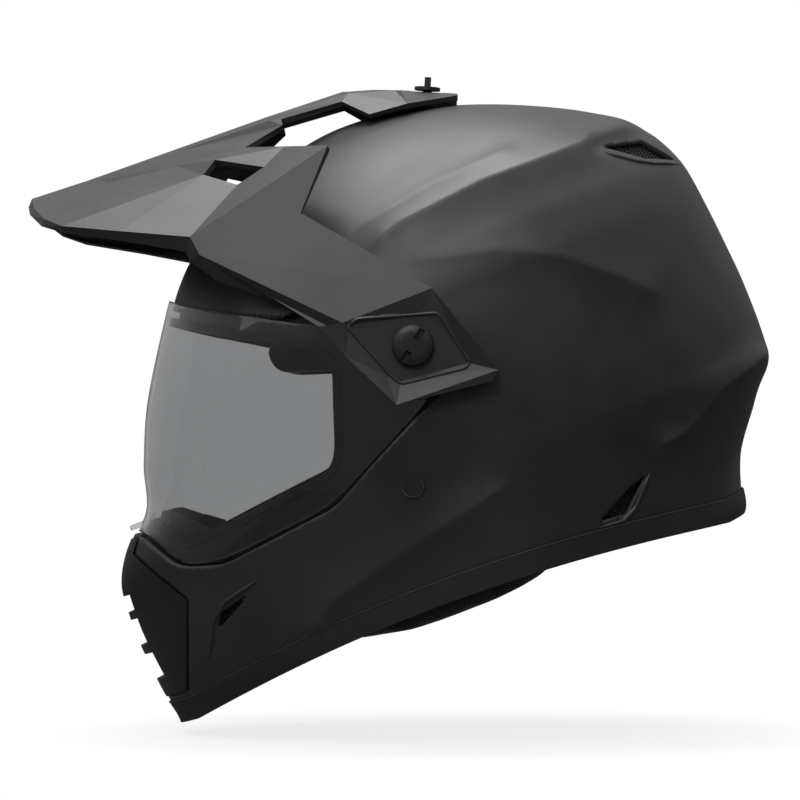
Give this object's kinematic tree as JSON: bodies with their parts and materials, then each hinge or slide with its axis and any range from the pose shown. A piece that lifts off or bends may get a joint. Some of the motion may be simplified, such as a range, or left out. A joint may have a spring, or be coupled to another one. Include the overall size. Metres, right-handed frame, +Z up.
{
  "type": "dual sport helmet",
  "caption": "Matte black full-face dual sport helmet with a faceted peak, a lifting clear shield, a padded lining and a chin strap.",
  "frame": {"origin": "middle of the footprint of the whole helmet, on the ground under its rim", "axes": "+Z is up from the rim to the crown, -Y is where the face looks, +X is the wearer's left"},
  "size_m": [0.2604, 0.366, 0.287],
  "materials": {
    "shell_black": "matte-coated black shell",
    "peak_black": "matte moulded peak",
    "frame_plastic": "moulded black plastic",
    "screw_plastic": "fine-grained black",
    "snap_plastic": "moulded nylon",
    "slip_plastic": "thin slick sheet",
    "mesh_plastic": "open screen",
    "impact_foam": "beaded foam",
    "clear_lens": "clear polycarbonate",
    "trim_rubber": "satin rubber",
    "gasket_rubber": "soft rubber",
    "guard_rubber": "soft rubber",
    "lining_fabric": "brushed knit",
    "roll_fabric": "knit over foam",
    "webbing": "woven webbing",
    "steel_parts": "polished steel",
    "rivet_black": "black coated"
  },
  "bodies": {
    "helmet": {"outer_shell": "shell_black", "base_trim": "trim_rubber", "eyeport_frame": "frame_plastic", "eyeport_gasket": "gasket_rubber", "foam_liner": "impact_foam", "chin_bar_foam": "impact_foam", "slip_liner": "slip_plastic", "comfort_liner": "lining_fabric", "neck_roll": "roll_fabric", "breath_guard": "guard_rubber", "mouth_vent_housing": "frame_plastic", "mouth_vent_mesh": "mesh_plastic", "peak_top_insert": "screw_plastic", "pivot_plate_screws": "steel_parts", "strap_rivets": "rivet_black", "strap_short": "webbing", "strap_long": "webbing", "strap_stud": "steel_parts", "cheek_pad_snaps": "snap_plastic", "cheek_pad_left": "lining_fabric", "chin_vent_mesh_left": "mesh_plastic", "rear_top_mesh_left": "mesh_plastic", "rear_low_mesh_left": "mesh_plastic", "pivot_plate_left": "frame_plastic", "strap_sleeve_left": "roll_fabric", "cheek_pad_right": "lining_fabric", "chin_vent_mesh_right": "mesh_plastic", "rear_top_mesh_right": "mesh_plastic", "rear_low_mesh_right": "mesh_plastic", "pivot_plate_right": "frame_plastic", "strap_sleeve_right": "roll_fabric"},
    "shield_body": {"shield": "clear_lens"},
    "peak_body": {"peak": "peak_black"},
    "left_screw": {"peak_screw_left": "screw_plastic"},
    "right_screw": {"peak_screw_right": "screw_plastic"},
    "top_screw": {"peak_top_screw": "screw_plastic"},
    "shutter": {"mouth_vent_shutter": "frame_plastic"},
    "inner_ring": {"d_ring_inner": "steel_parts"},
    "outer_ring": {"d_ring_outer": "steel_parts"}
  },
  "joints": [
    {"name": "shield_lift", "type": "hinge", "parent": "helmet", "child": "shield_body", "pos_m": [0, 0.0065, 0.1421], "axis": [-1, 0, 0], "range_deg": [0, 34]},
    {"name": "peak_tilt", "type": "hinge", "parent": "helmet", "child": "peak_body", "pos_m": [0, 0.0065, 0.1421], "axis": [-1, 0, 0], "range_deg": [-2, 2]},
    {"name": "left_screw_turn", "type": "hinge", "parent": "helmet", "child": "left_screw", "pos_m": [0.125, 0.0065, 0.1421], "axis": [1, 0, 0], "continuous": true},
    {"name": "right_screw_turn", "type": "hinge", "parent": "helmet", "child": "right_screw", "pos_m": [-0.125, 0.0065, 0.1421], "axis": [-1, 0, 0], "continuous": true},
    {"name": "top_screw_turn", "type": "hinge", "parent": "helmet", "child": "top_screw", "pos_m": [0, 0.0617, 0.26685], "axis": [0, 0.4046, 0.9145], "continuous": true},
    {"name": "vent_shutter_slide", "type": "slide", "parent": "helmet", "child": "shutter", "axis": [0, 0, 1], "range_m": [0, 0.007]},
    {"name": "inner_ring_swing", "type": "hinge", "parent": "helmet", "child": "inner_ring", "pos_m": [0.05905, -0.0179, 0.03112], "axis": [0, 1, 0], "range_deg": [0, 28]},
    {"name": "outer_ring_swing", "type": "hinge", "parent": "helmet", "child": "outer_ring", "pos_m": [0.06375, -0.0179, 0.03112], "axis": [0, 1, 0], "range_deg": [0, 28]}
  ],
  "couplings": [
    {"joint": "outer_ring_swing", "follows": "inner_ring_swing", "ratio": 1}
  ]
}
